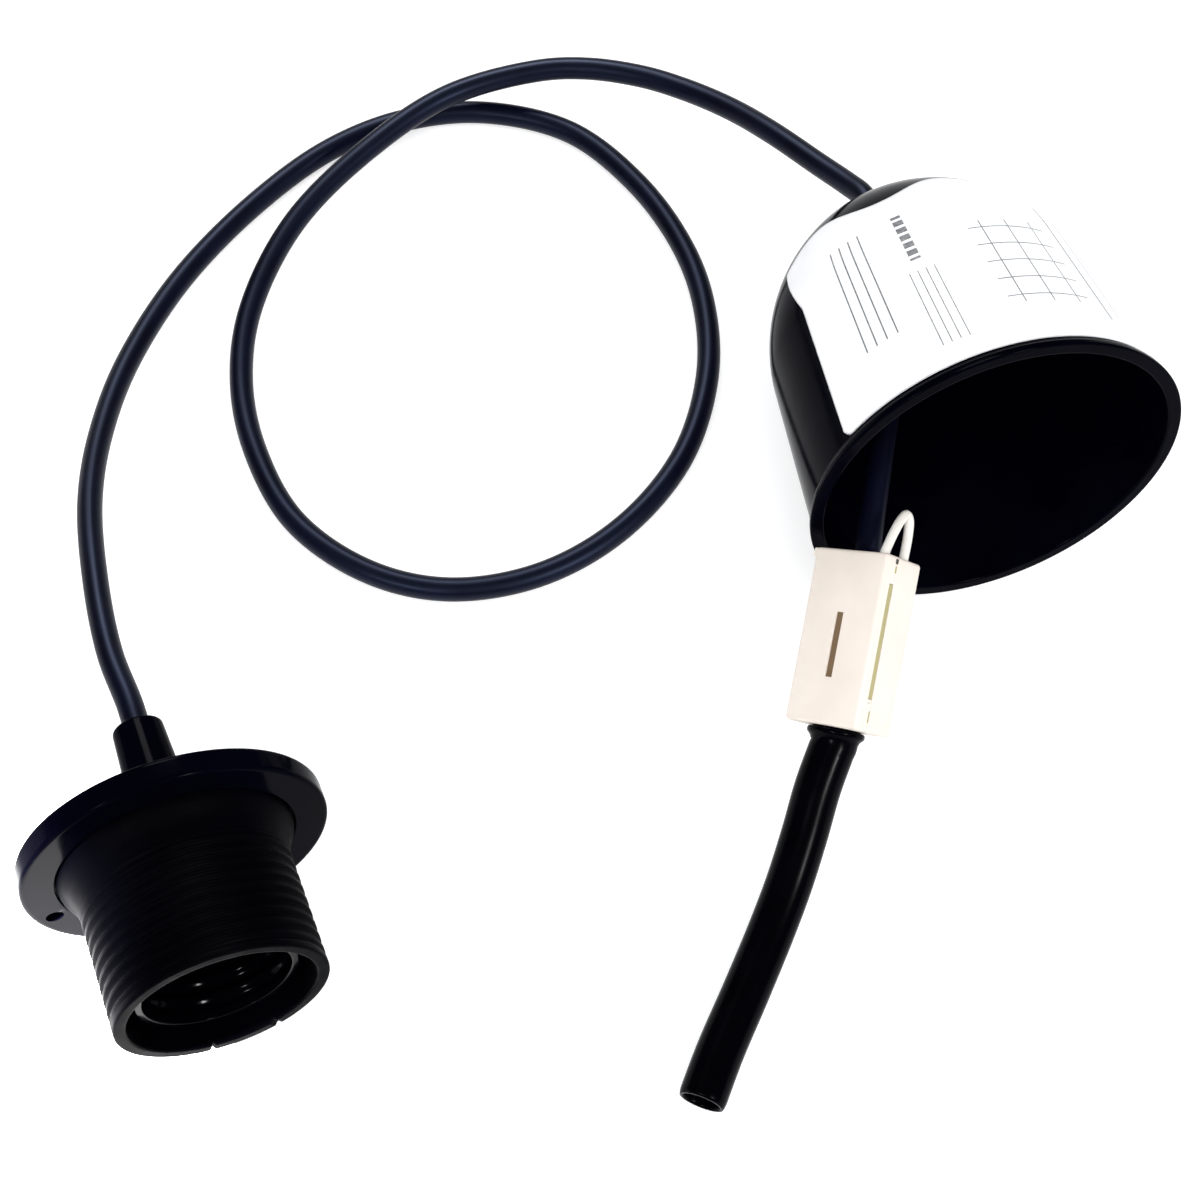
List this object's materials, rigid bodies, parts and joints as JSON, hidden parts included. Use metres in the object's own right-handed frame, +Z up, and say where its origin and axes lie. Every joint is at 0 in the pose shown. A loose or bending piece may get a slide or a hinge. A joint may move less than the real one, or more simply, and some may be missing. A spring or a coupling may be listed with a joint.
{
  "type": "pendant lamp cord set",
  "caption": "Pendant lamp cord set lying on a table: ceiling cup, looped cord, threaded lampholder and a hinged terminal box with a hanging loop and an insulating sleeve.",
  "frame": {"origin": "on the table, under the middle of the box round the rigid pieces (the cord and the soft sleeve left out)", "axes": "+Z up from the table; +X from the lampholder toward the ceiling cup, the rigid pieces' longest extent; +Y away from the two mouths, toward the cord's loop"},
  "size_m": [0.2388, 0.25, 0.0766],
  "materials": {
    "gloss_black": "glossy injection-moulded black",
    "satin_black": "semi-gloss moulded black",
    "sleeve_black": "glossy soft insulating tube",
    "cord_black": "smooth black sheath with a blue sheen",
    "rubber": "matt black rubber",
    "paper": "white coated paper",
    "ivory": "ivory moulded plastic",
    "nylon": "off-white nylon",
    "phenolic": "brown moulded block",
    "brass": "bright stamped brass",
    "steel": "zinc-plated steel",
    "brown_core": "brown core insulation",
    "blue_core": "blue core insulation"
  },
  "bodies": {
    "cord_set": {"connector_base": "ivory", "terminal_block": "phenolic", "terminal_live": "brass", "terminal_neutral": "brass", "cord_clamp": "ivory", "cord_clamp_screw_left": "steel", "cord_clamp_screw_right": "steel", "hanging_loop": "nylon", "insulating_sleeve": "sleeve_black", "pendant_cord": "cord_black", "core_live_connector": "brown_core", "core_neutral_connector": "blue_core", "core_live_holder": "brown_core", "core_neutral_holder": "blue_core", "holder_cap": "gloss_black", "holder_barrel": "satin_black", "socket_insert": "satin_black", "holder_terminal_live": "brass", "holder_terminal_neutral": "brass", "holder_terminal_screw_live": "steel", "holder_terminal_screw_neutral": "steel", "cord_grip": "nylon"},
    "bush": {"cord_bush": "rubber"},
    "cup": {"ceiling_cup": "gloss_black", "paper_label": "paper"},
    "cover": {"connector_cover": "ivory"},
    "terminal_screw_live_cord": {"terminal_screw_live_cord": "steel"},
    "terminal_screw_live_mains": {"terminal_screw_live_mains": "steel"},
    "terminal_screw_neutral_cord": {"terminal_screw_neutral_cord": "steel"},
    "terminal_screw_neutral_mains": {"terminal_screw_neutral_mains": "steel"},
    "centre_leaf": {"centre_contact": "brass"},
    "side_leaf": {"side_contact": "brass"}
  },
  "joints": [
    {"name": "bush_slide", "type": "slide", "parent": "cord_set", "child": "bush", "axis": [0, 0.9931, -0.1175], "range_m": [0, 0.008]},
    {"name": "cup_turn", "type": "hinge", "parent": "bush", "child": "cup", "pos_m": [0.08084, 0.06685, 0.02999], "axis": [0, 0.9931, -0.1175], "continuous": true},
    {"name": "cover_hinge", "type": "hinge", "parent": "cord_set", "child": "cover", "pos_m": [0.03791, -0.02135, 0.02528], "axis": [-0.424, -0.8268, -0.3697], "range_deg": [0, 110]},
    {"name": "terminal_screw_live_cord_turn", "type": "hinge", "parent": "cord_set", "child": "terminal_screw_live_cord", "pos_m": [0.04264, -0.02355, 0.02775], "axis": [-0.6692, 0.0109, 0.743], "continuous": true},
    {"name": "terminal_screw_live_mains_turn", "type": "hinge", "parent": "cord_set", "child": "terminal_screw_live_mains", "pos_m": [0.03959, -0.02951, 0.02509], "axis": [-0.6692, 0.0109, 0.743], "continuous": true},
    {"name": "terminal_screw_neutral_cord_turn", "type": "hinge", "parent": "cord_set", "child": "terminal_screw_neutral_cord", "pos_m": [0.0463, -0.02693, 0.0311], "axis": [-0.6692, 0.0109, 0.743], "continuous": true},
    {"name": "terminal_screw_neutral_mains_turn", "type": "hinge", "parent": "cord_set", "child": "terminal_screw_neutral_mains", "pos_m": [0.04325, -0.03288, 0.02843], "axis": [-0.6692, 0.0109, 0.743], "continuous": true},
    {"name": "centre_contact_spring", "type": "hinge", "parent": "cord_set", "child": "centre_leaf", "pos_m": [-0.098, -0.04248, 0.02966], "axis": [-0.0092, 0.0797, 0.9968], "range_deg": [0, 10], "stiffness_Nm_per_rad": 0.05},
    {"name": "side_contact_spring", "type": "hinge", "parent": "cord_set", "child": "side_leaf", "pos_m": [-0.07754, -0.04013, 0.02966], "axis": [-0.0092, 0.0797, 0.9968], "range_deg": [0, 4], "stiffness_Nm_per_rad": 0.05}
  ]
}
